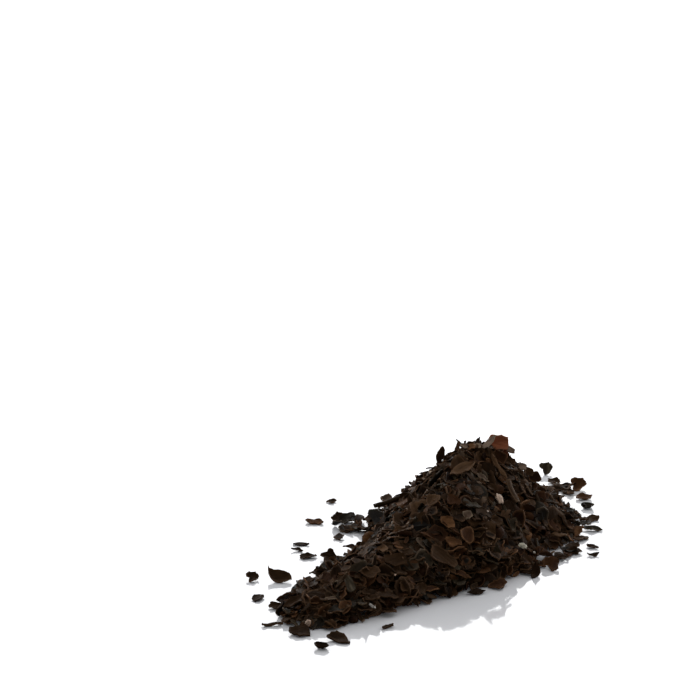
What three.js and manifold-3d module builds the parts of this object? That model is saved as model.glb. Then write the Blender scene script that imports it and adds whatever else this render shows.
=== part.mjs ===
// A heap of dried, cut bladderwrack: brittle flakes of the flat frond, strips of its midrib, halves of its air
// bladders and a bit of stalk, poured out on a table. The flakes of the heap lean on each other and hold together
// as one mass, and the ones that slid off its foot lie on the table by themselves. Millimetres, +Z up, the table
// at z = 0, the origin in the middle of the whole footprint.
import * as THREE from "three";
import { mergeVertices } from "three/addons/utils/BufferGeometryUtils.js";
import Module from "manifold-3d";

const wasm = await Module();
wasm.setup();

// The heap's crest, from the top of the cone down to the end of the tail. Each row is a place on the table, the
// reach of the slope around it and the height there.
const CREST = [
  { x: 19.5, y: 27, reach: 35, height: 26 },
  { x: 11, y: 14, reach: 33, height: 27.5 },
  { x: 7, y: -3, reach: 30, height: 24 },
  { x: -3.5, y: -19, reach: 24, height: 16 },
  { x: -18, y: -34, reach: 21, height: 11.5 },
  { x: -30, y: -48, reach: 17, height: 8.5 },
  { x: -38, y: -58, reach: 11.5, height: 4.5 },
];
const CREST_STEPS = 5; // slopes laid between one row of the crest and the next
const TIP_ROUNDING = 6; // how far a slope's tip is rounded, at most
const TIP_SHARE = 0.35; // and as a share of its reach

const FLAKE_THICK = 0.9; // a flake of the heap, across its own sheet
const CORE_DEPTH = 1.9; // how far the packed middle lies under the heap's outer surface
const CORE_CELL = 6; // size of the middle's facets
const CORE_ROUGH = 0.7; // and how far each of their corners is out of line, up or down
const ROOT = 0.6; // how far a flake's lowest corner is sunk into the middle
const SPACING = 5.8; // from one flake of the surface to the next, along the slope
const SCRAP = 0.05; // edges and steps smaller than this are smoothed away

const LOOSE_THICK = 0.75; // a loose flake, across its own sheet
const LOOSE_FLAT = 0.15; // how much is taken off below a loose flake, so that it lies on a small flat spot
const CLEAR = 0.35; // from the heap to the nearest loose flake

const SEED = 20261; // start of the random draws that make no two flakes alike

// Flakes on the crown that stick out furthest, each with the height of its foot above the heap's surface.
const CROWN = [
  { x: 23, y: 21, length: 16.5, width: 8, spin: 1.4, tilt: -1.3, curl: 1.2, arch: 1.0 },
  { x: 18, y: 18, length: 18, width: 3.4, spin: 0.2, tilt: -1.0, curl: 0.5, arch: 0.8 },
  { x: 31, y: 24, length: 7, width: 4, spin: -0.4, tilt: 0.6, curl: 0.6, arch: -0.6 },
  { x: 5, y: 18, length: 12, width: 5, spin: 1.7, tilt: -1.3, curl: 1.0, arch: -1.2 },
  { x: 15, y: 20, length: 11, width: 6, spin: 2.9, tilt: -0.45, curl: -0.9, arch: 1.0 },
];

// The bit of stalk that lies on the left slope: where it starts and ends, and how far its middle sags.
const STALK = { from: [-14, 8, 20], to: [0, 14, 25.5], bow: 1.8, thick: 1.7, sides: 6, steps: 5 };

// Every loose flake: its place on the table, its length and width, its turn and how far its rim is bent up.
const LOOSE = [
  { x: -58, y: -27, length: 6, width: 4, turn: 1.2, curl: 1.6 },
  { x: -48.5, y: -28, length: 10, width: 6.5, turn: 2.5, curl: 2.4 },
  { x: -55.5, y: -44, length: 6.5, width: 3.8, turn: 0.9, curl: 0.8 },
  { x: -50, y: -51, length: 6, width: 4, turn: 0.1, curl: 0.9 },
  { x: -43, y: 6, length: 4.6, width: 3, turn: 0.2, curl: 0.6 },
  { x: -44, y: 0, length: 4.4, width: 3, turn: 2.8, curl: 0.7 },
  { x: -40.5, y: -6, length: 6, width: 4.2, turn: 0.4, curl: 0.8 },
  { x: -33, y: -6, length: 7.5, width: 5, turn: 1.9, curl: 2.2 },
  { x: -30, y: 12, length: 5, width: 3.4, turn: 1.1, curl: 0.6 },
  { x: -39, y: 28, length: 9, width: 3.6, turn: -0.2, curl: 0.5 },
  { x: -30.5, y: 31, length: 8, width: 5.5, turn: 1.1, curl: 1.5 },
  { x: -27.5, y: 19.5, length: 6.5, width: 4.6, turn: 1.7, curl: 1.3 },
  { x: -49.5, y: -66, length: 9, width: 3.2, turn: 0.25, curl: 0.4 },
  { x: -42, y: -72.5, length: 9, width: 6, turn: -0.5, curl: 1.7 },
  { x: -30, y: -77.5, length: 8, width: 4, turn: -0.6, curl: 1.2 },
  { x: -35, y: -84, length: 6, width: 4, turn: -0.2, curl: 0.9 },
  { x: -15, y: -67.5, length: 5.5, width: 3.6, turn: 0.5, curl: 0.6 },
  { x: 13.5, y: -39, length: 5, width: 3.6, turn: 0.3, curl: 0.5 },
  { x: 20.5, y: -33, length: 8, width: 5, turn: 0.6, curl: 1.5 },
  { x: 33.5, y: -23, length: 5.5, width: 3.6, turn: 1.4, curl: 1.4 },
  { x: 39.5, y: -16, length: 8.5, width: 5, turn: 1.5, curl: 1.9 },
  { x: 43, y: -8.5, length: 6, width: 3.8, turn: 0.2, curl: 0.6 },
  { x: 48, y: -2, length: 6.5, width: 4.6, turn: 0.7, curl: 1.4 },
  { x: 54, y: -4.5, length: 5, width: 3, turn: 0.1, curl: 0.5 },
  { x: 54.5, y: 3.5, length: 4.6, width: 3, turn: 2.6, curl: 0.6 },
  { x: 56.5, y: 20.5, length: 7.5, width: 4.6, turn: -0.2, curl: 0.9 },
  { x: 57, y: 31, length: 6.5, width: 4, turn: 0.5, curl: 0.8 },
  { x: 57, y: 44, length: 6.5, width: 4, turn: 2.9, curl: 0.9 },
  { x: 56.5, y: 54, length: 6, width: 4, turn: 0.3, curl: 0.8 },
  { x: 56, y: 65, length: 8, width: 5, turn: 1.0, curl: 1.9 },
  { x: 48, y: 72, length: 6, width: 4, turn: 0.2, curl: 0.9 },
  { x: 47.5, y: 63.5, length: 7, width: 4, turn: -0.3, curl: 1.2 },
  { x: 45.5, y: 82, length: 7, width: 4.6, turn: 1.3, curl: 1.8 },
  { x: 27, y: 67, length: 7, width: 4.4, turn: 0.4, curl: 1.2 },
  { x: 6, y: 63, length: 6, width: 4, turn: 2.2, curl: 0.8 },
  { x: -14, y: 52, length: 7, width: 4.2, turn: 1.5, curl: 1.0 },
  { x: -33, y: 50, length: 5, width: 3.6, turn: 0.6, curl: 0.6 },
];

// A repeatable stream of numbers from 0 to 1.
function randomStream(seed) {
  let state = seed >>> 0;
  return () => {
    state = (state + 0x6d2b79f5) >>> 0;
    let t = Math.imul(state ^ (state >>> 15), 1 | state);
    t = (t + Math.imul(t ^ (t >>> 7), 61 | t)) ^ t;
    return ((t ^ (t >>> 14)) >>> 0) / 4294967296;
  };
}
const random = randomStream(SEED);
const between = (low, high) => low + (high - low) * random();
const UP = new THREE.Vector3(0, 0, 1);
const ACROSS = new THREE.Vector3(0, 1, 0);

// The crest as many slopes close together, each a cone with a rounded tip.
const slopes = [];
CREST.forEach((row, i) => {
  const next = CREST[i + 1] ?? row;
  const steps = CREST[i + 1] ? CREST_STEPS : 1;
  for (let s = 0; s < steps; s++) {
    const mix = (key) => THREE.MathUtils.lerp(row[key], next[key], s / steps);
    slopes.push({ x: mix("x"), y: mix("y"), reach: mix("reach"), height: mix("height") });
  }
});

// Height of the heap's outer surface over a point of the table, below 0 outside its foot.
function heapHeight(x, y) {
  let best = -Infinity;
  for (const slope of slopes) {
    const round = Math.min(TIP_ROUNDING, TIP_SHARE * slope.reach);
    const steep = slope.height / (Math.hypot(slope.reach, round) - round);
    const away = Math.hypot(x - slope.x, y - slope.y);
    best = Math.max(best, slope.height - steep * (Math.hypot(away, round) - round));
  }
  return best;
}

// Which way is straight out of the heap's surface at a point.
function heapNormal(x, y) {
  const step = 1.5;
  const dx = (heapHeight(x + step, y) - heapHeight(x - step, y)) / (2 * step);
  const dy = (heapHeight(x, y + step) - heapHeight(x, y - step)) / (2 * step);
  return new THREE.Vector3(-dx, -dy, 1).normalize();
}

// A closed three.js geometry as a solid that can be joined and cut.
function toSolid(geometry) {
  const bare = geometry.index ? geometry.toNonIndexed() : geometry.clone();
  bare.deleteAttribute("normal");
  bare.deleteAttribute("uv");
  const merged = mergeVertices(bare, 1e-4);
  return new wasm.Manifold(
    new wasm.Mesh({
      numProp: 3,
      vertProperties: merged.attributes.position.array,
      triVerts: new Uint32Array(merged.index.array),
    }),
  );
}

// A solid as a three.js geometry.
function toGeometry(solid) {
  const { vertProperties, triVerts, numProp, numVert } = solid.getMesh();
  const places = new Float32Array(numVert * 3);
  for (let i = 0; i < numVert; i++) places.set(vertProperties.subarray(i * numProp, i * numProp + 3), i * 3);
  const geometry = new THREE.BufferGeometry();
  geometry.setAttribute("position", new THREE.BufferAttribute(places, 3));
  geometry.setIndex(new THREE.BufferAttribute(triVerts, 1));
  geometry.computeVertexNormals();
  return geometry;
}

// The largest body of a solid, without the scraps that came loose and the hollows that joining sealed.
function oneBody(solid) {
  const bodies = solid.decompose().sort((a, b) => b.volume() - a.volume());
  return bodies[0];
}

// One flake, lying in the XY plane: a thin plate with uneven corners, its middle raised by `cup`, its sides bent up
// or down by `curl` and its two ends by `arch`, all in millimetres at the rim.
function flakeGeometry({ length, width, corners, thick, cup, curl, arch, ragged }) {
  const geometry = new THREE.CylinderGeometry(1, 1, thick, corners).rotateX(Math.PI / 2);
  const reach = Array.from({ length: corners }, () => between(1 - ragged, 1 + ragged / 2));
  const swing = Array.from({ length: corners }, () => between(-0.3, 0.3) * ((2 * Math.PI) / corners));
  const place = geometry.attributes.position;
  for (let i = 0; i < place.count; i++) {
    const radius = Math.hypot(place.getX(i), place.getY(i));
    const angle = (Math.atan2(place.getY(i), place.getX(i)) + 2 * Math.PI) % (2 * Math.PI);
    const corner = Math.round((angle / (2 * Math.PI)) * corners) % corners;
    const out = radius < 0.5 ? 0 : reach[corner];
    const along = out * Math.cos(angle + swing[corner]);
    const across = out * Math.sin(angle + swing[corner]);
    const lift = cup * (1 - out) + curl * across * across + arch * along * along;
    place.setXYZ(i, (along * length) / 2, (across * width) / 2, place.getZ(i) + lift);
  }
  return geometry;
}

// How far down a geometry reaches against a direction.
function lowestAlong(geometry, direction) {
  const place = geometry.attributes.position;
  const corner = new THREE.Vector3();
  let lowest = Infinity;
  for (let i = 0; i < place.count; i++) {
    lowest = Math.min(lowest, corner.fromBufferAttribute(place, i).dot(direction));
  }
  return lowest;
}

// A flake of the heap's surface, tilted out of the slope, with its lowest corner sunk into the packed middle.
function seatedFlake(x, y, shape, spin, tilt) {
  const normal = heapNormal(x, y);
  const geometry = flakeGeometry(shape);
  const pose = new THREE.Quaternion()
    .setFromUnitVectors(UP, normal)
    .multiply(new THREE.Quaternion().setFromAxisAngle(UP, spin))
    .multiply(new THREE.Quaternion().setFromAxisAngle(ACROSS, tilt));
  geometry.applyQuaternion(pose);
  const seat = new THREE.Vector3(x, y, heapHeight(x, y));
  seat.addScaledVector(normal, -CORE_DEPTH - ROOT - lowestAlong(geometry, normal));
  return toSolid(geometry.translate(seat.x, seat.y, seat.z));
}

// The packed middle: a slab whose top follows the heap, a little lower and rough. It is cut off at the table later.
function packedMiddle() {
  const half = 81;
  const cells = Math.round((2 * half) / CORE_CELL);
  const slab = new THREE.BoxGeometry(2 * half, 2 * half, 8, cells, cells, 1);
  const rough = Array.from({ length: (cells + 1) ** 2 }, () => between(-CORE_ROUGH, CORE_ROUGH));
  const place = slab.attributes.position;
  for (let i = 0; i < place.count; i++) {
    const column = Math.round((place.getX(i) + half) / CORE_CELL);
    const line = Math.round((place.getY(i) + half) / CORE_CELL);
    const top = heapHeight(place.getX(i), place.getY(i)) - CORE_DEPTH + rough[line * (cells + 1) + column];
    place.setZ(i, place.getZ(i) > 0 ? Math.max(top, -3) : -6);
  }
  return toSolid(slab);
}

// Seats for the flakes of the surface, spread evenly over the slope: a new one is kept only if no other is near.
function surfaceSeats() {
  const seats = [];
  for (let tries = 0; tries < 9000; tries++) {
    const x = between(-70, 70);
    const y = between(-80, 75);
    const height = heapHeight(x, y);
    if (height < 1) continue;
    const flat = SPACING * heapNormal(x, y).z;
    const low = Math.min(1, 0.6 + height / 15);
    const gap = low * (flat + (SPACING - flat) / 2);
    if (seats.every((seat) => Math.hypot(seat.x - x, seat.y - y) > gap)) seats.push({ x, y });
  }
  return seats;
}

// Strips torn along the midrib, cupped halves of bladders, and broad bits of frond.
function anyShape(scale) {
  const kind = random();
  const thick = FLAKE_THICK;
  if (kind < 0.16) {
    return {
      length: scale * between(12, 16), width: scale * between(3.4, 4.6), corners: 6, thick,
      cup: 0, curl: between(-0.4, 0.8), arch: between(-1.6, 1.6), ragged: 0.25,
    };
  }
  if (kind < 0.34) {
    return {
      length: scale * between(8.5, 10.5), width: scale * between(7, 8), corners: 7, thick,
      cup: between(1.4, 2.2), curl: between(-0.2, 0.2), arch: 0, ragged: 0.16,
    };
  }
  return {
    length: scale * between(10, 14), width: scale * between(7, 10), corners: random() < 0.6 ? 5 : 6, thick,
    cup: between(-0.6, 0.9), curl: between(-1.4, 1.4), arch: between(-1.2, 1.2), ragged: 0.42,
  };
}

// The bit of stalk: a thin bowed rod.
function stalk() {
  const start = new THREE.Vector3(...STALK.from);
  const end = new THREE.Vector3(...STALK.to);
  const middle = start.clone().lerp(end, 0.5).addScaledVector(UP, -STALK.bow);
  const section = new THREE.Shape();
  for (let k = 0; k < STALK.sides; k++) {
    const angle = (2 * Math.PI * k) / STALK.sides;
    const corner = [(STALK.thick / 2) * Math.cos(angle), (STALK.thick / 2) * Math.sin(angle)];
    if (k === 0) section.moveTo(...corner);
    else section.lineTo(...corner);
  }
  const path = new THREE.QuadraticBezierCurve3(start, middle, end);
  return toSolid(new THREE.ExtrudeGeometry(section, { steps: STALK.steps, extrudePath: path }));
}

const aboveTable = toSolid(new THREE.BoxGeometry(300, 300, 100).translate(0, 0, 50));

// The loose flakes, each on a small flat spot of its underside.
const loose = LOOSE.map(({ x, y, length, width, turn, curl }) => {
  const corners = width < 3.5 ? 5 : 6;
  const shape = { length, width, corners, thick: LOOSE_THICK, cup: 0, curl, arch: 0.4 * curl, ragged: 0.3 };
  const geometry = flakeGeometry(shape).rotateX(between(-0.2, 0.2)).rotateZ(turn);
  geometry.translate(x, y, -LOOSE_FLAT - lowestAlong(geometry, UP));
  return oneBody(toSolid(geometry).intersect(aboveTable));
});

// The flakes of the heap's surface. One that would reach a loose flake is left out.
const surface = surfaceSeats().map(({ x, y }) => {
  const low = Math.min(1, 0.66 + heapHeight(x, y) / 26);
  const tilt = between(0.16, random() < 0.3 ? 1 : 0.5) * (random() < 0.5 ? -1 : 1);
  return seatedFlake(x, y, anyShape(low), between(0, 2 * Math.PI), tilt);
});
const clearSurface = surface.filter((flake) => loose.every((other) => flake.minGap(other, 2 * CLEAR) > CLEAR));
const crown = CROWN.map(({ x, y, length, width, spin, tilt, curl, arch }) => {
  const shape = { length, width, corners: 6, thick: FLAKE_THICK, cup: 0, curl, arch, ragged: 0.2 };
  return seatedFlake(x, y, shape, spin, tilt);
});
const joined = wasm.Manifold.union([packedMiddle(), ...clearSurface, ...crown, stalk()]);
const heap = oneBody(joined.intersect(aboveTable).simplify(SCRAP));

const dryFrond = new THREE.MeshStandardMaterial({ color: 0x2b1d16, roughness: 0.6, metalness: 0 });
const bladderwrack = new THREE.Group();

function addPiece(name, solid) {
  const mesh = new THREE.Mesh(toGeometry(solid), dryFrond);
  mesh.name = name;
  bladderwrack.add(mesh);
}

addPiece("heap", heap);
loose.forEach((flake, i) => addPiece(`loose_flake_${String(i + 1).padStart(2, "0")}`, flake));

export default bladderwrack;
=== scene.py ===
import math
import random

import bpy
import numpy as np
from mathutils import Euler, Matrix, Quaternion, Vector


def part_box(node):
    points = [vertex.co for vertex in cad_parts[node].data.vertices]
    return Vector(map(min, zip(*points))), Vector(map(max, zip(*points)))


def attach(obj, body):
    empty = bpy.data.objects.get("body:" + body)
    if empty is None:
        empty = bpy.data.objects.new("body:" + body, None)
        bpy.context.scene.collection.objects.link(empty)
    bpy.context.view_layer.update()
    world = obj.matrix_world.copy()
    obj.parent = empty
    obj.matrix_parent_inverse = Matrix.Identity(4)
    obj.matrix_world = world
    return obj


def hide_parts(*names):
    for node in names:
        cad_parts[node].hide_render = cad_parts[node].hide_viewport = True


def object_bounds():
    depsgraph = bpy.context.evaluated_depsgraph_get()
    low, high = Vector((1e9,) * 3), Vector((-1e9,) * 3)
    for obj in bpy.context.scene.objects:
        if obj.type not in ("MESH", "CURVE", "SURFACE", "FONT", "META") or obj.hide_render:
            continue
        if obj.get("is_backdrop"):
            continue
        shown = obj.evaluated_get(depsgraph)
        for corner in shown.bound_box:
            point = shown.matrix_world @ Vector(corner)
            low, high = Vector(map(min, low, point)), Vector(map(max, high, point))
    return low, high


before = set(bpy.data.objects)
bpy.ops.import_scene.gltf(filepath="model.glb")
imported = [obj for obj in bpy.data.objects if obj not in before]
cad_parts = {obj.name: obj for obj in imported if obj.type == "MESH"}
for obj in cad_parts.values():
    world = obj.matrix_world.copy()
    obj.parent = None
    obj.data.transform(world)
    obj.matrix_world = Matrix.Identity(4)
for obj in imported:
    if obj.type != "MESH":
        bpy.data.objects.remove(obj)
cad_low, cad_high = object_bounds()
MM = 0.001

# The middle of the heap, in place of the imported heap: flakes and dust pressed together until no single one
# can be told from the next. It is a flat grid raised to the heap's crest, some millimetres below the
# outermost flakes, and cut off at the table. A row of CREST is a place on the ridge, how far its foot lies
# out, and its height.
CREST = [
    (19.5, 27, 35, 26),
    (11, 14, 33, 27.5),
    (7, -3, 30, 24),
    (-3.5, -19, 24, 16),
    (-18, -34, 21, 11.5),
    (-30, -48, 17, 8.5),
    (-38, -58, 11.5, 4.5),
]
CREST_STEPS = 5
TIP_ROUNDING = 6
TIP_SHARE = 0.35
MIDDLE_DEPTH = 5.5
MIDDLE_ROUGH = 0.6
MIDDLE_SPREAD = (128, 152, 1)
MIDDLE_GRID = (64, 76)
MIDDLE_FOOT = 0.1
MIDDLE_LOWEST = -2
DUST_SHADES = [(0.35, (0.006, 0.004, 0.003)), (0.7, (0.02, 0.012, 0.008))]


def crest_steps():
    """The rows of CREST with evenly spaced ones between them."""
    rows = []
    for here, after in zip(CREST, CREST[1:]):
        for step in range(CREST_STEPS):
            rows.append([a + (b - a) * step / CREST_STEPS for a, b in zip(here, after)])
    return rows + [CREST[-1]]


def heap_height(x, y):
    """Height in millimetres of the heap's outline over places on the table, below 0 outside its foot."""
    best = np.full(np.shape(x), -1e9)
    for cx, cy, reach, height in crest_steps():
        tip = min(TIP_ROUNDING, TIP_SHARE * reach)
        steep = height / (math.hypot(reach, tip) - tip)
        away = np.hypot(x - cx, y - cy)
        best = np.maximum(best, height - steep * (np.hypot(away, tip) - tip))
    return best


def clear_selection():
    if bpy.context.object and bpy.context.object.mode != "OBJECT":
        bpy.ops.object.mode_set(mode="OBJECT")
    bpy.ops.object.select_all(action="DESELECT")


def vertex_places(mesh):
    places = np.zeros(len(mesh.vertices) * 3, np.float32)
    mesh.vertices.foreach_get("co", places)
    return places.reshape(-1, 3).astype(float)


def set_vertex_places(mesh, places):
    mesh.vertices.foreach_set("co", places.astype(np.float32).ravel())
    mesh.update()


def new_material(name, roughness):
    material = bpy.data.materials.new(name)
    material.use_nodes = True
    shader = material.node_tree.nodes["Principled BSDF"]
    shader.inputs["Roughness"].default_value = roughness
    return material, material.node_tree.nodes, material.node_tree.links, shader


def noise_node(nodes, links, source, scale, detail=3.0):
    noise = nodes.new("ShaderNodeTexNoise")
    noise.inputs["Scale"].default_value = scale
    noise.inputs["Detail"].default_value = detail
    links.new(source, noise.inputs["Vector"])
    return noise


def ramp_node(nodes, links, source, stops):
    ramp = nodes.new("ShaderNodeValToRGB")
    while len(ramp.color_ramp.elements) < len(stops):
        ramp.color_ramp.elements.new(0.5)
    for element, (place, colour) in zip(ramp.color_ramp.elements, stops):
        element.position = place
        element.color = (*colour, 1)
    links.new(source, ramp.inputs["Fac"])
    return ramp


clear_selection()
across, along = MIDDLE_GRID
bpy.ops.mesh.primitive_grid_add(x_subdivisions=across, y_subdivisions=along, size=1, calc_uvs=False)
middle = bpy.context.object
middle.name = "packed_middle"
places = vertex_places(middle.data) * MIDDLE_SPREAD
rough = np.random.default_rng(3).uniform(-MIDDLE_ROUGH, MIDDLE_ROUGH, len(places))
middle_top = heap_height(places[:, 0], places[:, 1]) - MIDDLE_DEPTH + rough
places[:, 2] = np.maximum(middle_top, MIDDLE_LOWEST)
set_vertex_places(middle.data, places * MM)
bpy.ops.object.mode_set(mode="EDIT")
bpy.ops.mesh.select_all(action="SELECT")
bpy.ops.mesh.bisect(plane_co=(0, 0, MIDDLE_FOOT * MM), plane_no=(0, 0, 1), use_fill=True, clear_inner=True)
bpy.ops.mesh.select_all(action="SELECT")
bpy.ops.mesh.normals_make_consistent(inside=False)
bpy.ops.object.mode_set(mode="OBJECT")

dust, nodes, links, shader = new_material("packed frond dust", 0.8)
spots = noise_node(nodes, links, nodes.new("ShaderNodeTexCoord").outputs["Object"], 700)
dust_colour = ramp_node(nodes, links, spots.outputs["Fac"], DUST_SHADES)
links.new(dust_colour.outputs["Color"], shader.inputs["Base Color"])
middle.data.materials.append(dust)
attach(middle, "root")
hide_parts("heap")

# The patterns of the cut flakes. The flat frond is sliced and breaks along its veins, so a bit has sharp cut
# sides, torn lobes or the frond's own round edge, and its thin sheet has dried wavy. A pattern is a flat
# grid drawn to an outline, cut with bisect and given its thickness, and it is copied for each like flake.
FROND_THICK = 0.36
CORNERS_MEET = 0.12
RIM_RAGGED = 0.05
INNER_RIPPLE = 0.4
RIB_WIDTH = 0.55
SMOOTH_UNDER = math.radians(50)
random.seed(11)


def set_layer(mesh, layer, values):
    """Keeps a number for each vertex in the mesh, for its finish."""
    mesh.attributes.new(layer, "FLOAT", "POINT").data.foreach_set("value", values)


def thicken(sheet, thick):
    solid = sheet.modifiers.new("wall", "SOLIDIFY")
    solid.thickness = thick
    solid.offset = 0
    bpy.ops.object.modifier_apply(modifier="wall")
    bpy.ops.object.shade_smooth_by_angle(angle=SMOOTH_UNDER)


def flake_pattern(name, length, width, cuts=(), **form):
    """A thin sheet in XY, in millimetres. A cut is an angle in degrees and how far out it falls. A lobe is
    how many there are, how deep and where. Tips narrow the two ends, bow bends both of them and hook one,
    and fold and rib lift the sides or the middle."""
    rounded = form.get("rounded", 0.3)
    ripple = form.get("ripple", 0.22)
    lobes = form.get("lobes", ())
    across, along = form.get("grid", (5, 4))
    clear_selection()
    bpy.ops.mesh.primitive_grid_add(x_subdivisions=across, y_subdivisions=along, size=2, calc_uvs=False)
    flake = bpy.context.object
    flake.name = name
    for vertex in flake.data.vertices:
        u, v = vertex.co.x, vertex.co.y
        x = u * (1 - rounded + rounded * math.sqrt(1 - v * v / 2))
        y = v * (1 - rounded + rounded * math.sqrt(1 - u * u / 2))
        around = math.atan2(y, x)
        swells = [depth * math.cos(count * (around - math.radians(where))) for count, depth, where in lobes]
        grow = 1 + sum(swells)
        x, y = x * grow, y * grow
        tip = form.get("tips", (0, 0))[0 if x > 0 else 1]
        y = y * (1 - tip * min(abs(x), 1) ** 2)
        y = y + form.get("bow", 0) * x * x + form.get("hook", 0) * max(x, 0) ** 2
        vertex.co = (x * length / 2, y * width / 2, 0)
    bpy.ops.object.mode_set(mode="EDIT")
    for angle, out in cuts:
        a = math.radians(angle)
        reach = out * (abs(math.cos(a)) * length + abs(math.sin(a)) * width) / 2
        side = (math.cos(a), math.sin(a), 0)
        bpy.ops.mesh.select_all(action="SELECT")
        bpy.ops.mesh.bisect(plane_co=[reach * s for s in side], plane_no=side, clear_outer=True)
    bpy.ops.mesh.select_all(action="SELECT")
    bpy.ops.mesh.remove_doubles(threshold=CORNERS_MEET)
    bpy.ops.object.mode_set(mode="OBJECT")
    uses = {}
    for polygon in flake.data.polygons:
        for key in polygon.edge_keys:
            uses[key] = uses.get(key, 0) + 1
    rim = {v for key, count in uses.items() if count == 1 for v in key}
    for vertex in flake.data.vertices:
        on_rim = vertex.index in rim
        vertex.co.z += ripple * random.uniform(-1, 1) * (1 if on_rim else INNER_RIPPLE)
        vertex.co.z += form.get("fold", 0) * abs(vertex.co.y)
        vertex.co.z += form.get("rib", 0) * math.exp(-((vertex.co.y / RIB_WIDTH) ** 2))
        if on_rim:
            vertex.co.x += random.uniform(-RIM_RAGGED, RIM_RAGGED) * width
            vertex.co.y += random.uniform(-RIM_RAGGED, RIM_RAGGED) * width
    # The rim layer marks the sheet's edges, where the finish paints a highlight.
    set_layer(flake.data, "rim", [float(vertex.index in rim) for vertex in flake.data.vertices])
    thicken(flake, form.get("thick", FROND_THICK))
    return flake


LOBED_LEAF = [(3, 0.08, 20)]
LOBED_OVAL = [(2, 0.06, 50), (3, 0.07, 100)]
LOBED_TEAR = [(3, 0.2, 10), (5, 0.1, 40)]
LOBED_STAR = [(3, 0.2, 75), (2, 0.1, 20), (5, 0.14, 10)]
LOBED_CURL = [(2, 0.06, 40)]
FROND_PATTERNS = [
    flake_pattern("broad_cut", 6.8, 5.4, [(25, 0.8), (115, 0.85), (205, 0.78), (290, 0.9)]),
    flake_pattern("wedge_cut", 7.4, 5.2, [(40, 0.55), (140, 0.72), (265, 0.8)], rounded=0.5, fold=0.12),
    flake_pattern("slant_cut", 7.6, 4.2, [(30, 0.72), (210, 0.7)], rounded=0.6, rib=0.4),
    flake_pattern("leaf", 8.2, 4.2, rounded=1, tips=(0.75, 0.45), fold=0.22, ripple=0.3),
    flake_pattern("small_chip", 4.0, 3.4, [(50, 0.7), (170, 0.7), (285, 0.7)], rounded=0.5, grid=(4, 3)),
    flake_pattern("long_point", 8.8, 3.6, [(200, 0.85)], rounded=1, tips=(0.9, 0.2), bow=0.3, ripple=0.3),
    flake_pattern(
        "ribbed_leaf", 7.4, 4.8, [(190, 0.8)], rounded=1, lobes=LOBED_LEAF, tips=(0.5, 0), rib=0.6
    ),
    flake_pattern("oval", 6.0, 4.3, [(170, 0.86)], rounded=1, lobes=LOBED_OVAL, tips=(0.25, 0)),
    flake_pattern("torn_lobe", 6.2, 5.0, [(100, 0.75)], rounded=1, lobes=LOBED_TEAR, ripple=0.35),
    flake_pattern("star_bit", 6.0, 4.8, rounded=1, lobes=LOBED_STAR, tips=(0.5, 0.3), ripple=0.4),
    flake_pattern("curled_leaf", 7.8, 4.8, rounded=1, tips=(0.97, 0), hook=-1.3, lobes=LOBED_CURL, fold=0.1),
    flake_pattern("crescent", 7.0, 3.2, rounded=1, tips=(0.8, 0.7), bow=0.9, fold=0.15),
    flake_pattern("folded_leaf", 7.0, 4.8, [(185, 0.75)], rounded=1, tips=(0.6, 0), fold=0.75),
    flake_pattern("torn_square", 5.6, 4.8, [(5, 0.9), (95, 0.88), (228, 0.6)], rounded=0.4, ripple=0.4),
]
BIT_SHEET = {"grid": (3, 2), "thick": 0.3}
BIT_PATTERNS = [
    flake_pattern("round_bit", 2.4, 1.9, rounded=0.9, lobes=[(3, 0.15, 30)], ripple=0.25, **BIT_SHEET),
    flake_pattern("torn_bit", 2.9, 1.8, [(40, 0.7)], rounded=0.3, ripple=0.3, **BIT_SHEET),
    flake_pattern("thin_bit", 3.2, 1.0, rounded=0.7, tips=(0.5, 0.3), bow=0.4, ripple=0.2, **BIT_SHEET),
]
LONG_STRIP_CUTS = [(18, 0.85), (195, 0.85)]
STRIP_PATTERNS = [
    flake_pattern("long_strip", 9.0, 1.7, LONG_STRIP_CUTS, thick=0.6, rib=0.35, bow=0.5, grid=(7, 3)),
    flake_pattern("short_strip", 6.0, 1.6, [(-30, 0.75), (150, 0.8)], thick=0.7, bow=-0.4, grid=(5, 3)),
    flake_pattern(
        "sliver", 7.0, 1.0, [(12, 0.9)], rounded=1, tips=(0.5, 0.3), thick=0.4, bow=0.8, grid=(6, 2)
    ),
]
BLADDER_THICK = 0.34
BLADDER_ROUGH = 0.15
BLADDER_RIM = 0.7
BLADDER_CUT = (0.15, 0.1, 1)


def bladder_pattern(name, length, width, depth, opening):
    """Half of a dried air bladder: a thin cupped shell with a cut rim, from a ball with its top cut away."""
    clear_selection()
    bpy.ops.mesh.primitive_uv_sphere_add(segments=12, ring_count=8, radius=0.5, calc_uvs=False)
    shell = bpy.context.object
    shell.name = name
    bpy.ops.object.mode_set(mode="EDIT")
    bpy.ops.mesh.select_all(action="SELECT")
    bpy.ops.mesh.bisect(plane_co=(0, 0, opening), plane_no=BLADDER_CUT, clear_outer=True)
    bpy.ops.mesh.select_all(action="SELECT")
    bpy.ops.transform.resize(value=(length, width, depth * 2))
    bpy.ops.object.mode_set(mode="OBJECT")
    for vertex in shell.data.vertices:
        vertex.co += Vector([random.uniform(-BLADDER_ROUGH, BLADDER_ROUGH) for axis in "xyz"])
    top = max(vertex.co.z for vertex in shell.data.vertices)
    # The rim layer fades in from the cut rim, where the finish paints a highlight.
    rim = [max(0.0, 1 - (top - vertex.co.z) / BLADDER_RIM) for vertex in shell.data.vertices]
    set_layer(shell.data, "rim", rim)
    thicken(shell, BLADDER_THICK)
    return shell


BLADDER_PATTERNS = [
    bladder_pattern("bladder_half", 6.0, 4.6, 1.5, 0.0),
    bladder_pattern("bladder_cap", 5.2, 4.4, 1.2, -0.1),
]
ALL_PATTERNS = FROND_PATTERNS + BIT_PATTERNS + STRIP_PATTERNS + BLADDER_PATTERNS
PATTERNS = {pattern.name: pattern for pattern in ALL_PATTERNS}
FLAT_PLACES = {name: vertex_places(pattern.data) for name, pattern in PATTERNS.items()}

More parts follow.
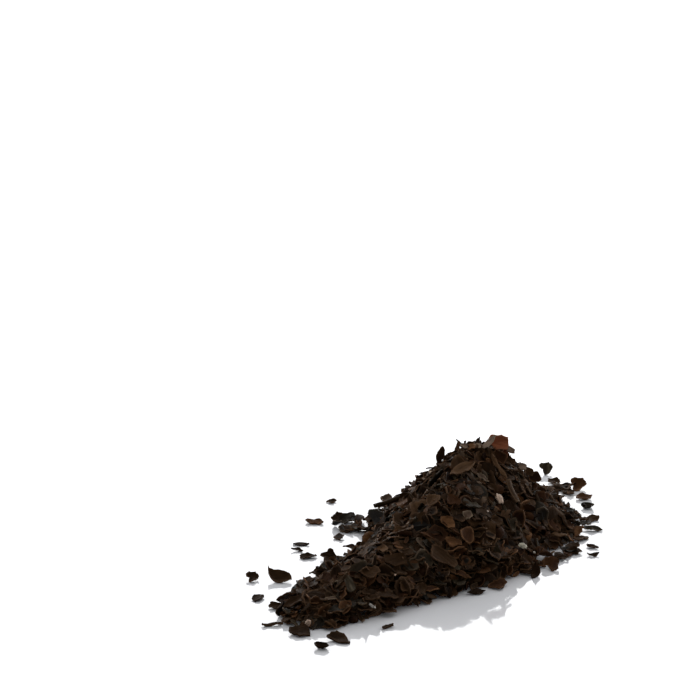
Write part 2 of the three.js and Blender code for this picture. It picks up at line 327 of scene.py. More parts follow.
# The poured flakes, thousands of them. One by one each comes down where the heap is still low, leans on what
# lies there and settles about along the slope. The heap's top is kept as heights in millimetres on a grid
# over the table. The crown is piled up higher, and the foot is thin, most of all on the right, with gaps.
CELL = 0.7
GRID_LOW = np.array([-72.0, -84.0])
GRID_SIZE = (206, 242)
BOX_LOW = np.array(cad_low) / MM
BOX_HIGH = np.array(cad_high) / MM
CROWN_PLACE = (15.5, 23)
CROWN_RISE = 3.7
CROWN_SPREAD = 7
RIGHT_FROM = 12
RIGHT_OVER = 34
RIGHT_DROP = 1.8
GAPS_UNDER = 3
GAPS_UNDER_RIGHT = 4
GAP_DEPTH = 2.5
LAID_FROM_TABLE = 0.12
LAID_FROM_TOP = 0.1
HELD_FROM_TABLE = 0.05
HELD_FROM_TOP = 0.12
FLAKES = 2450
TRIES = 14
REFUSED_MOST = 150
STRIPS_UNDER = 0.17
BLADDERS_UNDER = 0.25
JITTER = 0.4
CURLS = (0.16, 0.07)
MOST_CURLS = np.array((0.36, 0.18))
TILTS = 0.5
MOST_TILT = 1.4
PALEST_TONE = 0.88
TURN = 2 * math.pi
grid_x, grid_y = np.meshgrid(
    GRID_LOW[0] + CELL * np.arange(GRID_SIZE[0]), GRID_LOW[1] + CELL * np.arange(GRID_SIZE[1]), indexing="ij"
)
from_crown = np.hypot(grid_x - CROWN_PLACE[0], grid_y - CROWN_PLACE[1]) / CROWN_SPREAD
outline = heap_height(grid_x, grid_y) + CROWN_RISE * np.exp(-(from_crown**2))
to_right = np.clip((grid_x - RIGHT_FROM) / RIGHT_OVER, 0, 1)
patches = np.sin(grid_x * 0.9 + 1.3 * np.sin(grid_y * 0.5))
patches = patches * np.sin(grid_y * 0.8 + 1.1 * np.sin(grid_x * 0.6))
gaps = (outline < GAPS_UNDER + GAPS_UNDER_RIGHT * to_right) & (patches > -0.1)
wanted = outline - 1 - RIGHT_DROP * to_right - np.where(gaps, GAP_DEPTH, 0)
lying = np.maximum(outline - MIDDLE_DEPTH, 0)
slope_x, slope_y = np.gradient(outline, CELL)
heap_cells = np.argwhere((outline > 0.5) & (wanted > -3))
pouring = np.random.default_rng(20)


def shaped(pattern, stretch, roll=0.0, sag=0.0, twist=0.0, wave=0.0):
    """A pattern's places stretched and waved, then curled about its length by roll and across it by sag,
    and twisted. Roll, sag and twist are in radians to the millimetre."""
    x, y, z = (FLAT_PLACES[pattern] * stretch).T
    if wave:
        start = pouring.uniform(0, TURN, 3)
        z = z + wave * np.sin(x * 1.1 + start[0]) * np.cos(y * 1.2 + start[1])
        y = y + 0.5 * wave * np.sin(x * 0.8 + start[2])
    if abs(roll) > 1e-4:
        y, z = (1 / roll - z) * np.sin(y * roll), 1 / roll - (1 / roll - z) * np.cos(y * roll)
    if abs(sag) > 1e-4:
        x, z = (1 / sag - z) * np.sin(x * sag), 1 / sag - (1 / sag - z) * np.cos(x * sag)
    turn = twist * x
    return np.column_stack([x, y * np.cos(turn) - z * np.sin(turn), y * np.sin(turn) + z * np.cos(turn)])


def turned(places, lean, spin, tilt=0.0, tilt_way=0.0):
    """Turns a flake by spin in its own sheet, tilts it, and lays it on a slope that faces lean. Radians."""
    pose = Vector((0, 0, 1)).rotation_difference(Vector(lean))
    pose = pose @ Quaternion(Vector((math.cos(tilt_way), math.sin(tilt_way), 0)), tilt)
    pose = pose @ Quaternion(Vector((0, 0, 1)), spin)
    return places @ np.array(pose.to_matrix()).T


def cells_under(places):
    """The cells of the height grid that lie under some places."""
    cells = np.rint((places[:, :2] - GRID_LOW) / CELL).astype(int)
    return np.clip(cells[:, 0], 0, GRID_SIZE[0] - 1), np.clip(cells[:, 1], 0, GRID_SIZE[1] - 1)


def slope_at(x, y, share=0.8):
    """The way that the heap faces at a place, with its slope taken at a share of its steepness."""
    i, j = (cell[0] for cell in cells_under(np.array([[x, y, 0.0]])))
    return Vector((-slope_x[i, j] * share, -slope_y[i, j] * share, 1)).normalized()


def lay_on_heap(places, x, y, sink, proud):
    """Lowers a turned flake until the share sink of its corners is pressed in, and further where its middle
    would stand more than proud above the wanted height, and raises the heap there. Returns its places, or
    None where it would stand out of the box."""
    places = places + (x, y, 0)
    under = cells_under(places)
    lift = np.quantile(lying[under] - places[:, 2], 1 - sink)
    lift = min(lift, float((wanted[under] - places[:, 2]).mean()) + proud)
    places[:, 2] += max(lift, LAID_FROM_TABLE - places[:, 2].min())
    if (places.min(0) < BOX_LOW).any() or (places.max(0) > BOX_HIGH - LAID_FROM_TOP).any():
        return None
    np.maximum.at(lying, under, places[:, 2])
    return places


def hold_at(places, x, y, z):
    """Puts a turned flake in its place, between the table and the box's top, and raises the heap there."""
    places = places + (x, y, z)
    places[:, 2] -= max(places[:, 2].max() - BOX_HIGH[2] + HELD_FROM_TOP, 0)
    places[:, 2] += max(HELD_FROM_TABLE - places[:, 2].min(), 0)
    np.maximum.at(lying, cells_under(places), places[:, 2])
    return places


def set_grain(mesh, places):
    """Keeps in the mesh where each vertex lies in the sheet that it was cut from, for its finish."""
    layer = mesh.attributes.new("grain", "FLOAT_VECTOR", "POINT")
    layer.data.foreach_set("vector", places.astype(np.float32).ravel())


GRAIN_STRETCH = (0.35, 1, 1)
GRAIN_SPREAD = 400
copies = {}


def add_copy(piece, pattern, places, tone):
    """A copy of a pattern with its own mesh, its vertices at places in millimetres. For its finish it keeps
    its shade among its fellows, and where its own sheet's grain lies."""
    mesh = PATTERNS[pattern].data.copy()
    set_vertex_places(mesh, places * MM)
    set_layer(mesh, "tone", np.full(len(places), tone, np.float32))
    cut_from = pouring.uniform(-GRAIN_SPREAD, GRAIN_SPREAD, 3)
    set_grain(mesh, (FLAT_PLACES[pattern] * GRAIN_STRETCH + cut_from) * MM)
    copy = bpy.data.objects.new(piece, mesh)
    bpy.context.scene.collection.objects.link(copy)
    copies.setdefault(piece, []).append(copy)


def any_colour():
    return ["brown", "olive", "reddish"][int(pouring.choice(3, p=[0.58, 0.2, 0.22]))]


def any_tone(middle_tone=0.43, spread=0.2):
    return float(np.clip(pouring.normal(middle_tone, spread), 0, PALEST_TONE))


def math_node(nodes, links, operation, *values):
    """A sum on numbers and on the outputs of other nodes, in the order of its sockets."""
    node = nodes.new("ShaderNodeMath")
    node.operation = operation
    for socket, value in zip(node.inputs, values):
        if isinstance(value, float):
            socket.default_value = value
        else:
            links.new(value, socket)
    return node.outputs["Value"]


def range_node(nodes, links, source, ends, results=(0.0, 1.0), way="LINEAR"):
    """Takes a value from between the two ends to between the two results."""
    node = nodes.new("ShaderNodeMapRange")
    node.interpolation_type = way
    for socket, value in zip(("From Min", "From Max", "To Min", "To Max"), (*ends, *results)):
        node.inputs[socket].default_value = value
    links.new(source, node.inputs["Value"])
    return node.outputs["Result"]


def frond_material(name, shades, rim, roughness=0.6, specular=0.035):
    """Dried frond: a leathery sheet with fine grain along it, a painted highlight in patches on its rims,
    and a dull, weak sheen.
    """
    material, nodes, links, shader = new_material(name, roughness)
    shader.inputs["Specular IOR Level"].default_value = specular
    own = {}
    for layer in ("tone", "grain", "rim"):
        own[layer] = nodes.new("ShaderNodeAttribute")
        own[layer].attribute_name = layer
    grain = own["grain"].outputs["Vector"]
    mottle = noise_node(nodes, links, grain, 520, 4)
    shift = math_node(nodes, links, "SUBTRACT", own["tone"].outputs["Fac"], 0.4)
    shade = math_node(nodes, links, "MULTIPLY_ADD", mottle.outputs["Fac"], 0.8, shift)
    body = ramp_node(nodes, links, shade, list(zip((0.0, 0.45, 0.8, 1.0), shades)))
    # Rims painted paler in patches: a painted highlight where the thin edges catch the light.
    painted_rim_glint = math_node(nodes, links, "POWER", own["rim"].outputs["Fac"], 2.5)
    rim_glint_patches = noise_node(nodes, links, grain, 45, 2)
    rim_glint_share = range_node(nodes, links, rim_glint_patches.outputs["Fac"], (0.4, 0.66))
    mix = nodes.new("ShaderNodeMix")
    mix.data_type = "RGBA"
    mix.inputs["B"].default_value = (*rim, 1)
    links.new(math_node(nodes, links, "MULTIPLY", painted_rim_glint, rim_glint_share), mix.inputs["Factor"])
    links.new(body.outputs["Color"], mix.inputs["A"])
    links.new(mix.outputs["Result"], shader.inputs["Base Color"])
    wrinkles = noise_node(nodes, links, grain, 1400, 5)
    bump = nodes.new("ShaderNodeBump")
    bump.inputs["Strength"].default_value = 0.85
    bump.inputs["Distance"].default_value = 0.4 * MM
    links.new(wrinkles.outputs["Fac"], bump.inputs["Height"])
    links.new(bump.outputs["Normal"], shader.inputs["Normal"])
    return material


BROWN = [(0.0058, 0.0027, 0.0012), (0.026, 0.0125, 0.005), (0.054, 0.0265, 0.011), (0.1, 0.052, 0.023)]
OLIVE = [(0.0042, 0.0029, 0.0016), (0.0155, 0.0102, 0.005), (0.034, 0.0235, 0.012), (0.092, 0.07, 0.042)]
REDDISH = [(0.009, 0.0035, 0.0015), (0.036, 0.014, 0.0055), (0.073, 0.031, 0.0115), (0.17, 0.08, 0.032)]
MIDRIB = [(0.0075, 0.004, 0.002), (0.0262, 0.014, 0.0065), (0.056, 0.031, 0.0155), (0.1, 0.063, 0.035)]
# The colour after each set of shades is the painted highlight on its rims.
FINISHES = {
    "brown": frond_material("dry brown frond", BROWN, (0.12, 0.067, 0.037)),
    "olive": frond_material("dry olive-black frond", OLIVE, (0.095, 0.064, 0.038), 0.55, 0.065),
    "reddish": frond_material("dry reddish frond", REDDISH, (0.165, 0.082, 0.039)),
    "midrib": frond_material("dry midrib", MIDRIB, (0.125, 0.077, 0.045)),
    "bladder": frond_material("dry bladder wall", REDDISH, (0.15, 0.077, 0.042)),
}


def finish_pieces(start, nodes_of=lambda piece: ["heap"]):
    """Joins the copies of each piece whose name begins with start, and gives it its finish and its place."""
    for name in [name for name in copies if name.startswith(start)]:
        clear_selection()
        for copy in copies[name]:
            copy.select_set(True)
        bpy.context.view_layer.objects.active = copies[name][0]
        if len(copies[name]) > 1:
            bpy.ops.object.join()
        piece = bpy.context.object
        piece.name = name
        piece.data.name = name
        piece.data.materials.clear()
        piece.data.materials.append(FINISHES[name[len(start) :]])
        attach(piece, "root")
        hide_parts(*nodes_of(name))


laid = 0
refused = 0
while laid < FLAKES and refused < REFUSED_MOST:
    tries = heap_cells[pouring.integers(len(heap_cells), size=TRIES)]
    lack = wanted[tries[:, 0], tries[:, 1]] - lying[tries[:, 0], tries[:, 1]]
    i, j = tries[int(np.argmax(lack))]
    if lack.max() < 0:
        refused += 1
        continue
    x = grid_x[i, j] + pouring.uniform(-JITTER, JITTER)
    y = grid_y[i, j] + pouring.uniform(-JITTER, JITTER)
    kind = pouring.random()
    near_foot = min(1.0, 0.6 + outline[i, j] / 14)
    size = float(np.clip(pouring.lognormal(-0.08, 0.32), 0.4, 1.5)) * near_foot
    if kind < STRIPS_UNDER:
        colour = "midrib"
        pattern = STRIP_PATTERNS[pouring.integers(len(STRIP_PATTERNS))].name
        stretch = (size, near_foot * pouring.uniform(0.7, 1.2), 1)
    elif kind < BLADDERS_UNDER:
        colour = "bladder"
        pattern = BLADDER_PATTERNS[pouring.integers(len(BLADDER_PATTERNS))].name
        size = min(size, 1.1)
        stretch = (size, size, pouring.uniform(0.6, 1.1))
    else:
        colour = any_colour()
        pattern = FROND_PATTERNS[pouring.integers(len(FROND_PATTERNS))].name
        stretch = (size * pouring.uniform(0.85, 1.15), size * pouring.uniform(0.8, 1.1), 1)
    roll, sag = np.clip(pouring.normal(0, CURLS), -MOST_CURLS, MOST_CURLS)
    shape = shaped(pattern, stretch, roll, sag, pouring.normal(0, 0.05), pouring.uniform(0.05, 0.34))
    spin = pouring.uniform(0, TURN)
    if to_right[i, j] > 0.2:
        spin = math.atan2(-slope_y[i, j], -slope_x[i, j]) + pouring.normal(0, 0.7)
    tilt = min(abs(pouring.normal(0, TILTS)), MOST_TILT)
    shape = turned(shape, slope_at(x, y), spin, tilt, pouring.uniform(0, TURN))
    if colour == "bladder" and pouring.random() < 0.5:
        shape = shape * (1, -1, -1)
    places = lay_on_heap(shape, x, y, 0.2, pouring.uniform(-0.4, 1.9))
    if places is None:
        refused += 1
        continue
    refused = 0
    add_copy("poured_" + colour, pattern, places, any_tone())
    laid += 1
finish_pieces("poured_")

# The crumbled bits: what the cutter broke up small, lodged between the flakes all over the heap. Each is a
# tiny sheet, curled up and lying any way, that drops until it is wedged in where the heap is still a little
# low. A few of them are a pale buff, in part a painted glow of light that shines through the thin frond.
BITS = 380
BIT_TRIES = 3
PALE_SHARE = 0.03
# The pale buff finish is partly painted light: brighter for the glow through thin frond lit from behind.
PALE_GLOW_SHADES = [(0.035, 0.021, 0.013), (0.09, 0.057, 0.038), (0.17, 0.115, 0.082), (0.32, 0.23, 0.175)]
FINISHES["pale"] = frond_material("pale frond with painted backlight glow in part", PALE_GLOW_SHADES, (0.34, 0.26, 0.18))
for number in range(BITS):
    tries = heap_cells[pouring.integers(len(heap_cells), size=BIT_TRIES)]
    lack = wanted[tries[:, 0], tries[:, 1]] - lying[tries[:, 0], tries[:, 1]]
    i, j = tries[int(np.argmax(lack))]
    x, y = grid_x[i, j], grid_y[i, j]
    pattern = BIT_PATTERNS[pouring.integers(len(BIT_PATTERNS))].name
    size = pouring.uniform(0.75, 1.6)
    shape = shaped(pattern, (size, size, 1), pouring.normal(0, 0.2), pouring.normal(0, 0.12), 0, 0.15)
    tilt = abs(pouring.normal(0, 0.5))
    shape = turned(shape, slope_at(x, y), pouring.uniform(0, TURN), tilt, pouring.uniform(0, TURN))
    places = lay_on_heap(shape, x, y, 0.35, 2.2)
    if places is not None:
        colour = "pale" if pouring.random() < PALE_SHARE else any_colour()
        add_copy("bits_" + colour, pattern, places, any_tone(0.5, 0.22))
finish_pieces("bits_")

# The thin scatter at the foot: small flakes that rolled down and lie flat against the heap or beside it,
# with the table between them. Each row is a line along the foot, from one place to the other, how many lie
# along it, and how far to the side they strayed.
FOOT_RUNS = [
    ((15, -27), (32, -17), 20, 1.8),
    ((30, -16), (44, -4), 10, 2.4),
    ((45, -2), (51, 14), 5, 2.6),
    ((49, 16), (53, 44), 10, 3.0),
    ((42, 50), (53, 67), 18, 3.0),
    ((-31, 20), (-18, 22), 13, 1.9),
    ((-25, 26), (-16, 33), 7, 2.6),
    ((-29, -14), (-21, 2), 9, 2.2),
    ((-44, -48), (-33, -28), 15, 2.2),
    ((-46, -62), (-42, -50), 8, 2.0),
    ((-36, -69), (-10, -50), 20, 1.6),
    ((-10, -50), (15, -31), 16, 1.6),
    ((-15, 40), (20, 60), 12, 3.5),
]
for start, end, count, stray in FOOT_RUNS:
    for number in range(count):
        share = (number + pouring.random()) / count
        x = start[0] + (end[0] - start[0]) * share + pouring.normal(0, stray)
        y = start[1] + (end[1] - start[1]) * share + pouring.normal(0, stray)
        pattern = FROND_PATTERNS[pouring.integers(len(FROND_PATTERNS))].name
        size = pouring.uniform(0.45, 1.0)
        shape = shaped(pattern, (size, size, 1), pouring.uniform(0.05, 0.3), pouring.normal(0, 0.08), 0, 0.3)
        tilt = abs(pouring.normal(0, 0.25))
        shape = turned(shape, (0, 0, 1), pouring.uniform(0, TURN), tilt, pouring.uniform(0, TURN))
        places = lay_on_heap(shape, x, y, 0.15, 4)
        if places is not None:
            add_copy("foot_" + any_colour(), pattern, places, any_tone())
finish_pieces("foot_")

# The flakes that catch the eye on the heap's front and tail: broad, pale or reddish ones that lie on top of
# the others. Each row is where its middle lies, pattern, colour, how much longer and wider, curl, turn in
# degrees and shade.
TOP_FLAKES = [
    (0.6, -12.3, 22.2, "oval", "brown", (0.85, 1.1), 0.12, 30, 0.8),
    (7.1, -12.2, 22.2, "torn_lobe", "reddish", (0.75, 0.85), 0.15, -20, 0.6),
    (11.6, -15.4, 18.2, "small_chip", "pale", (0.95, 0.95), 0.2, 40, 0.42),
    (5.0, -20.1, 17.4, "torn_square", "reddish", (0.85, 0.9), 0.12, 20, 0.86),
    (11.4, -21.8, 13.6, "oval", "reddish", (1.05, 1.2), 0.14, 85, 0.5),
    (6.6, -25.9, 12.7, "torn_lobe", "reddish", (0.9, 0.75), 0.2, 10, 0.82),
    (2.9, -32.0, 10.1, "torn_lobe", "brown", (1.6, 1.15), 0.1, -25, 0.55),
    (-3.5, -34.5, 10.0, "ribbed_leaf", "olive", (1.1, 1.0), 0.15, 160, 0.6),
    (-12.3, -39.1, 11.4, "torn_square", "brown", (1.4, 0.95), 0.12, 20, 0.6),
    (-9.3, -47.0, 6.1, "torn_lobe", "brown", (0.9, 0.9), 0.18, 100, 0.65),
    (-26.5, -53.9, 8.7, "slant_cut", "olive", (0.9, 0.7), 0.15, 110, 0.82),
    (-28.0, -61.9, 4.6, "oval", "reddish", (0.9, 0.9), 0.25, 60, 0.72),
    (-20.2, -46.5, 10.2, "torn_lobe", "brown", (1.0, 0.9), 0.15, 30, 0.6),
    (-46.6, -53.4, 1.3, "broad_cut", "brown", (0.9, 0.8), 0.1, 10, 0.55),
    (-8.8, -21.5, 15.3, "broad_cut", "brown", (0.9, 0.9), 0.15, 0, 0.65),
    (10.9, 4.3, 27.4, "leaf", "brown", (1.5, 1.0), 0.14, 46, 0.93),
    (17.6, 4.8, 24.1, "leaf", "pale", (0.65, 0.6), 0.2, 5, 0.25),
    (23.4, 16.5, 24.4, "slant_cut", "brown", (1.35, 0.55), 0.1, -38, 0.98),
    (27.5, 6.0, 19.0, "long_strip", "midrib", (1.1, 1.2), 0.0, -55, 0.75),
]
for x, y, z, pattern, colour, size, roll, turn, tone in TOP_FLAKES:
    shape = turned(shaped(pattern, (*size, 1), roll, 0.03, 0, 0.12), slope_at(x, y, 1.1), math.radians(turn))
    add_copy("top_" + colour, pattern, hold_at(shape, x, y, z), tone)
finish_pieces("top_")

# The flakes that stand up at the crown and on its shoulders: a big reddish one propped on the others, a thin
# grey one that leans over it, a pale crumpled cluster to the left and a dark one by itself. The two thin
# reddish ones are painted brighter, a painted glow of the light that shines through them from behind, and
# the grey and pale ones partly so. Each row is where its middle is, pattern, colour, how much longer and
# wider, curl, three turns in degrees, and shade.
# The thin reddish finish is brighter than the reddish frond: a painted glow of light shining through the
# thin sheet from behind.
BACKLIT_RED_GLOW = [(0.04, 0.012, 0.006), (0.12, 0.034, 0.015), (0.21, 0.062, 0.027), (0.34, 0.12, 0.06)]
FINISHES["thin_red"] = frond_material("thin reddish frond with painted backlight glow", BACKLIT_RED_GLOW, (0.3, 0.13, 0.07))
CROWN_FLAKES = [
    (23.8, 22.6, 30.9, "torn_square", "thin_red", (1.35, 1.05), 0.3, (62, 8, 8), 0.82),
    (26.1, 22.2, 26.8, "slant_cut", "thin_red", (0.65, 0.5), 0.2, (68, -72, 0), 0.3),
    (20.5, 20.6, 32.1, "long_point", "pale", (0.86, 0.62), 0.1, (48, -45, -8), 1.0),
    (28.0, 22.0, 28.4, "small_chip", "pale", (0.85, 0.75), 0.2, (52, 25, 20), 0.6),
    (10.0, 20.0, 30.5, "thin_bit", "brown", (1.2, 1.5), 0.3, (60, -70, 0), 0.85),
    (12.6, 19.3, 30.6, "torn_lobe", "pale", (0.6, 0.5), 0.4, (26, 8, 16), 0.7),
    (14.6, 18.9, 30.4, "torn_bit", "reddish", (1.0, 1.4), 0.4, (30, -12, -20), 1.0),
    (16.4, 19.6, 30.2, "torn_bit", "pale", (0.95, 1.3), 0.3, (38, -30, 10), 0.7),
    (13.3, 18.5, 29.0, "torn_lobe", "reddish", (1.15, 0.8), 0.2, (25, -6, 20), 0.85),
    (16.8, 18.8, 29.0, "torn_square", "brown", (0.8, 0.7), 0.2, (40, 10, -10), 0.75),
    (20.0, 20.0, 28.0, "leaf", "brown", (0.9, 0.8), 0.2, (35, 22, -25), 0.7),
    (24.2, 21.0, 26.3, "broad_cut", "reddish", (0.75, 0.8), 0.2, (55, 25, 0), 0.4),
    (21.6, 24.6, 27.0, "broad_cut", "brown", (0.8, 0.8), 0.2, (-35, 8, 30), 0.5),
    (25.6, 25.2, 25.8, "torn_square", "reddish", (0.8, 0.7), 0.2, (-45, 20, 0), 0.5),
    (4.3, 19.0, 26.9, "oval", "brown", (1.25, 0.7), 0.25, (75, -84, 10), 0.62),
    (32.4, 28.6, 20.2, "small_chip", "pale", (0.9, 0.9), 0.3, (42, 10, 0), 0.85),
    (35.0, 29.5, 18.2, "torn_bit", "brown", (1.3, 1.5), 0.3, (60, 25, 0), 0.7),
    (37.2, 29.5, 16.2, "oval", "reddish", (0.75, 0.9), 0.2, (72, 20, 0), 0.35),
    (27.5, 25.0, 24.0, "torn_lobe", "brown", (0.8, 0.7), 0.25, (50, 30, 0), 0.6),
]
for x, y, z, pattern, colour, size, roll, turns, tone in CROWN_FLAKES:
    turning = Euler([math.radians(turn) for turn in turns]).to_matrix()
    shape = shaped(pattern, (*size, 1), roll, 0.06, 0, 0.12) @ np.array(turning).T
    add_copy("crown_" + colour, pattern, hold_at(shape, x, y, z), tone)
finish_pieces("crown_")

# A bit of stalk sticks out of the heap's left flank: round, slightly bent and cut off square. It is a
# cylinder cut into short lengths and bowed down between its two ends, with its inner end buried in the heap.
STALK_ENDS = (Vector((-18.3, 10, 12.5)), Vector((3, 24.5, 17.0)))
STALK_THICK = 1.5
STALK_BOW = 1.0
STALK_CUTS = 12
STALK_FLARE = 0.25
STALK_KNOTS = 0.07
STALK_ROUGH = 0.03
STALK_FLAT = 0.8
STALK_TONE = 0.45
clear_selection()
bpy.ops.mesh.primitive_cylinder_add(vertices=12, radius=STALK_THICK / 2, depth=1, end_fill_type="TRIFAN")
stalk = bpy.context.object
stalk.name = "stalk"
bpy.ops.object.mode_set(mode="EDIT")
for level in range(1, STALK_CUTS):
    bpy.ops.mesh.select_all(action="SELECT")
    bpy.ops.mesh.bisect(plane_co=(0, 0, level / STALK_CUTS - 0.5), plane_no=(0, 0, 1))
bpy.ops.object.mode_set(mode="OBJECT")
along = STALK_ENDS[1] - STALK_ENDS[0]
to_slope = Vector((0, 0, 1)).rotation_difference(along)
for vertex in stalk.data.vertices:
    share = vertex.co.z + 0.5
    thick = 1 + STALK_FLARE * share + STALK_KNOTS * math.sin(share * 21)
    thick = thick + random.uniform(-STALK_ROUGH, STALK_ROUGH)
    side = to_slope @ Vector((vertex.co.x * thick, vertex.co.y * thick * STALK_FLAT, 0))
    place = STALK_ENDS[0] + along * share + side
    place.z -= STALK_BOW * 4 * share * (1 - share)
    vertex.co = place * MM
bpy.ops.object.shade_smooth_by_angle(angle=SMOOTH_UNDER)
for layer, value in (("tone", STALK_TONE), ("rim", 0.0)):
    set_layer(stalk.data, layer, [value] * len(stalk.data.vertices))
set_grain(stalk.data, vertex_places(stalk.data))
stalk.data.materials.append(FINISHES["midrib"])
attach(stalk, "root")
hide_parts("heap")

# Pale crumbs among the flakes: bits of shell and grit that came with the weed, beige or whitish. Each is a
# small ball swollen into lumps and pressed into the slope. Each row is where its middle is, length, width
# and thickness, turn in degrees and colour.
CRUMBS = [
    (23.1, 0.8, 18.3, (4.0, 2.8, 1.0), -35, (0.62, 0.44, 0.32)),
    (30.1, -13.5, 6.8, (3.6, 1.8, 0.9), 5, (0.5, 0.46, 0.35)),
    (34.0, -12.5, 4.2, (0.9, 0.7, 0.6), 0, (0.5, 0.45, 0.38)),
    (-19.7, -58.7, 3.8, (2.6, 1.0, 0.8), -20, (0.85, 0.8, 0.72)),
    (-39.3, -69.4, 2.4, (2.0, 1.9, 1.2), 0, (0.4, 0.27, 0.19)),
    (18.7, -9.0, 17.2, (0.9, 0.6, 0.5), 20, (0.75, 0.6, 0.5)),
    (-12.4, -46.0, 9.0, (0.9, 0.6, 0.5), 50, (0.6, 0.4, 0.28)),
    (4.5, 12.0, 28.0, (0.7, 0.6, 0.5), 0, (0.8, 0.78, 0.75)),
    (-38.5, -59.0, 4.6, (1.1, 0.8, 0.6), 70, (0.42, 0.3, 0.2)),
]
CRUMB_LUMPS = 0.22
CRUMB_BEND = 0.16
for number, (x, y, z, size, turn, colour) in enumerate(CRUMBS):
    clear_selection()
    bpy.ops.mesh.primitive_ico_sphere_add(subdivisions=3, radius=0.5, calc_uvs=False)
    crumb = bpy.context.object
    crumb.name = f"crumb_{number + 1}"
    start = np.random.default_rng(number).uniform(0, TURN, 3)
    places = vertex_places(crumb.data)
    swell = 1 + CRUMB_LUMPS * np.sin(places @ (9, 4, 3) + start[0]) * np.sin(places @ (-3, 8, 5) + start[1])
    places = places * swell[:, None] * size
    places[:, 2] += CRUMB_BEND * np.sin(places[:, 0] * 2.4 + start[2])
    lean = slope_at(x, y, 1.1) + Vector((0, -0.5, 0))
    places = turned(places, lean.normalized(), math.radians(turn))
    set_vertex_places(crumb.data, hold_at(places, x, y, z) * MM)
    bpy.ops.object.shade_smooth()
    shell, nodes, links, shader = new_material(f"shell crumb {number + 1}", 0.6)
    grit = noise_node(nodes, links, nodes.new("ShaderNodeTexCoord").outputs["Object"], 1500)
    shades = [(0.35, [0.45 * c for c in colour]), (0.6, colour)]
    grit_colour = ramp_node(nodes, links, grit.outputs["Fac"], shades)
    links.new(grit_colour.outputs["Color"], shader.inputs["Base Color"])
    crumb.data.materials.append(shell)
    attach(crumb, "root")
    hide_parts("heap")

# The loose flakes that slid off the heap, each lying where its solid lies. They are the same cut frond, a
# little more curled because nothing presses them, and each is a copied pattern fitted to its solid. A row is
# the number, pattern, colour, turn in degrees, curl about its length and across it, how far it faces front,
# and shade.
LOOSE_FLAKES = [
    (1, "star_bit", "brown", 70, 0.2, 0.1, 22, 0.35),
    (2, "curled_leaf", "brown", 172, 0.2, 0.1, 32, 0.55),
    (3, "oval", "brown", 50, 0.25, 0.05, 8, 0.3),
    (4, "broad_cut", "brown", -8, 0.2, 0.05, 12, 0.5),
    (5, "long_point", "brown", -5, 0.2, 0.05, 4, 0.25),
    (6, "crescent", "brown", 165, 0.3, 0.1, 8, 0.3),
    (7, "wedge_cut", "brown", 25, 0.2, 0.05, 8, 0.35),
    (8, "star_bit", "brown", 0, 0.25, 0.05, 35, 0.3),
    (9, "small_chip", "brown", 60, 0.2, 0.1, 10, 0.2),
    (10, "slant_cut", "reddish", -10, 0.2, 0.05, 6, 0.75),
    (11, "broad_cut", "brown", 60, 0.25, 0.1, 25, 0.35),
    (12, "torn_square", "brown", 100, 0.2, 0.1, 14, 0.45),
    (13, "long_strip", "brown", 15, 0, 0.03, 0, 0.4),
    (14, "torn_square", "brown", 15, 0.2, 0.1, 12, 0.4),
    (15, "wedge_cut", "brown", -20, 0.2, 0.1, 12, 0.4),
    (16, "bladder_half", "brown", -10, 0, 0, 0, 0.2),
    (17, "short_strip", "brown", 30, 0, 0.05, 0, 0.25),
    (18, "leaf", "brown", 15, 0.2, 0.1, 10, 0.3),
    (19, "torn_lobe", "reddish", 35, 0.3, 0.1, 18, 0.5),
    (20, "long_point", "brown", 80, 0.3, 0.2, 35, 0.3),
    (21, "star_bit", "reddish", 85, 0.3, 0.2, 30, 0.55),
    (22, "leaf", "brown", 10, 0.25, 0.1, 5, 0.3),
    (23, "torn_square", "brown", 40, 0.3, 0.15, 14, 0.4),
    (24, "crescent", "brown", 5, 0.2, 0.1, 6, 0.3),
    (25, "leaf", "brown", 150, 0.2, 0.1, 6, 0.4),
    (26, "leaf", "olive", -10, 0.25, 0.05, 6, 0.5),
    (27, "slant_cut", "brown", 30, 0.2, 0.1, 8, 0.6),
    (28, "bladder_cap", "olive", 165, 0, 0, 0, 0.5),
    (29, "oval", "reddish", 15, 0.25, 0.1, 8, 0.7),
    (30, "star_bit", "reddish", 60, 0.2, 0.1, 35, 0.75),
    (31, "broad_cut", "brown", 10, 0.2, 0.1, 10, 0.45),
    (32, "leaf", "brown", -20, 0.25, 0.1, 8, 0.3),
    (33, "star_bit", "olive", 75, 0.35, 0.2, 40, 0.85),
    (34, "broad_cut", "brown", 25, 0.2, 0.1, 8, 0.4),
    (35, "leaf", "brown", 125, 0.25, 0.1, 8, 0.3),
    (36, "oval", "brown", 85, 0.2, 0.1, 6, 0.5),
    (37, "torn_lobe", "brown", 35, 0.2, 0.1, 8, 0.4),
]
FULL_FIT = 1.15
TIGHT_FIT = 0.9
TIGHT_ONES = (2, 13, 17)
MOST_FIT = 1.5
THINNEST = 0.8
THICKEST = 1.2
LOOSE_FROM_TABLE = 0.03


def solids_of(piece):
    return [f"loose_flake_{row[0]:02d}" for row in LOOSE_FLAKES if "loose_" + row[2] == piece]


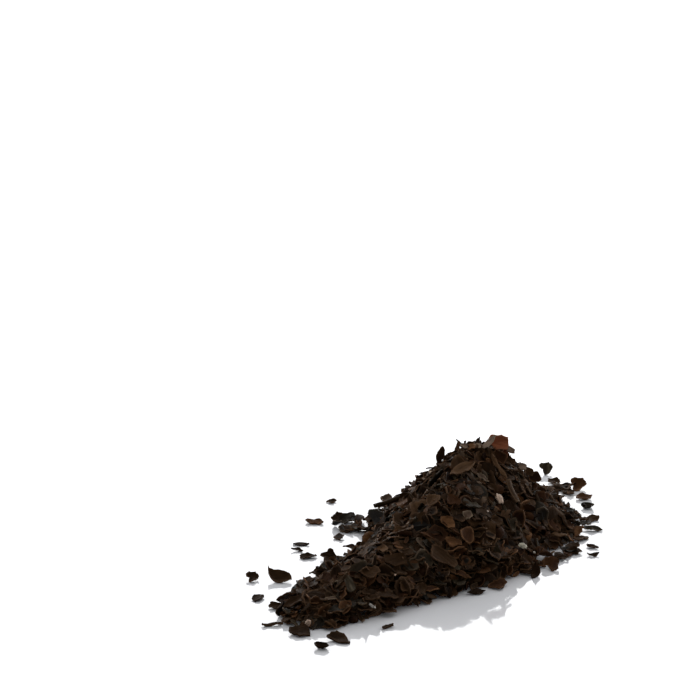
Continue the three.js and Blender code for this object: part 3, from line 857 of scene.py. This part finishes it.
for number, pattern, colour, turn, roll, sag, tilt, tone in LOOSE_FLAKES:
    low, high = (np.array(corner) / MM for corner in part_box(f"loose_flake_{number:02d}"))
    shape = shaped(pattern, (0.9, 0.9, 1), roll, sag, 0.03, 0.25)
    shape = turned(shape, (0, 0, 1), math.radians(turn))
    shape = turned(shape, (0, 0, 1), 0, math.radians(tilt))
    fit = ((high - low)[:2] / np.ptp(shape[:, :2], axis=0)).min()
    fit = min(fit * (TIGHT_FIT if number in TIGHT_ONES else FULL_FIT), MOST_FIT)
    shape = shape * (fit, fit, min(max(THINNEST, fit), THICKEST))
    shape[:, :2] += (high + low)[:2] / 2 - (shape[:, :2].max(0) + shape[:, :2].min(0)) / 2
    shape[:, 2] -= shape[:, 2].min() - LOOSE_FROM_TABLE
    shape += np.maximum(BOX_LOW - shape.min(0), 0) - np.maximum(shape.max(0) - BOX_HIGH, 0)
    add_copy("loose_" + colour, pattern, shape, tone)
finish_pieces("loose_", solids_of)
for pattern in PATTERNS.values():
    bpy.data.objects.remove(pattern)

# The table that the heap was poured on: a sheet of glossy white acrylic, which mirrors the heap and the
# bright wall behind it. It isn't part of the heap.
ACRYLIC_WHITE = (0.86, 0.87, 0.90, 1)
ACRYLIC_BEND = 1.8
clear_selection()
bpy.ops.mesh.primitive_plane_add(size=12, calc_uvs=False)
table = bpy.context.object
table.name = "table"
acrylic, nodes, links, shader = new_material("glossy white acrylic", 0.05)
shader.inputs["Base Color"].default_value = ACRYLIC_WHITE
shader.inputs["IOR"].default_value = ACRYLIC_BEND
table.data.materials.append(acrylic)
table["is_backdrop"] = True

# Soft studio light: a bright white wall behind the heap, which fades to a dim room in front and to a ceiling
# about a third as bright.
WALL_LIGHT = 2.9
ROOM_LIGHT = 0.28
world = bpy.context.scene.world or bpy.data.worlds.new("room")
bpy.context.scene.world = world
world.use_nodes = True
nodes = world.node_tree.nodes
links = world.node_tree.links
ways = nodes.new("ShaderNodeSeparateXYZ")
links.new(nodes.new("ShaderNodeTexCoord").outputs["Generated"], ways.inputs["Vector"])
backward = range_node(nodes, links, ways.outputs["Y"], (-0.35, 0.75), way="SMOOTHSTEP")
low_down = range_node(nodes, links, ways.outputs["Z"], (0.32, 0.72), (1.0, 0.3), way="SMOOTHSTEP")
wall = math_node(nodes, links, "MULTIPLY", backward, low_down)
strength = math_node(nodes, links, "MULTIPLY_ADD", wall, WALL_LIGHT, ROOM_LIGHT)
links.new(strength, nodes["Background"].inputs["Strength"])
nodes["Background"].inputs["Color"].default_value = (1, 1, 1, 1)
bpy.context.scene.view_settings.view_transform = "Standard"

# The camera looks from the photo's side: three quarters of a metre away and down by about 15 degrees, with a
# long lens. Its place is in millimetres.
CAMERA_PLACE = (-26.5, -723, 266)
CAMERA_DOWN = 15.2
CAMERA_LENS = 118.3
camera_data = bpy.data.cameras.new("camera")
camera_data.sensor_width = 36
camera_data.lens = CAMERA_LENS
camera_data.clip_start = 0.01
camera_data.clip_end = 50
camera = bpy.data.objects.new("camera", camera_data)
camera.location = [place * MM for place in CAMERA_PLACE]
camera.rotation_euler = Euler((math.radians(90 - CAMERA_DOWN), 0, 0))
bpy.context.scene.collection.objects.link(camera)
bpy.context.scene.camera = camera

low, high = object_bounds()
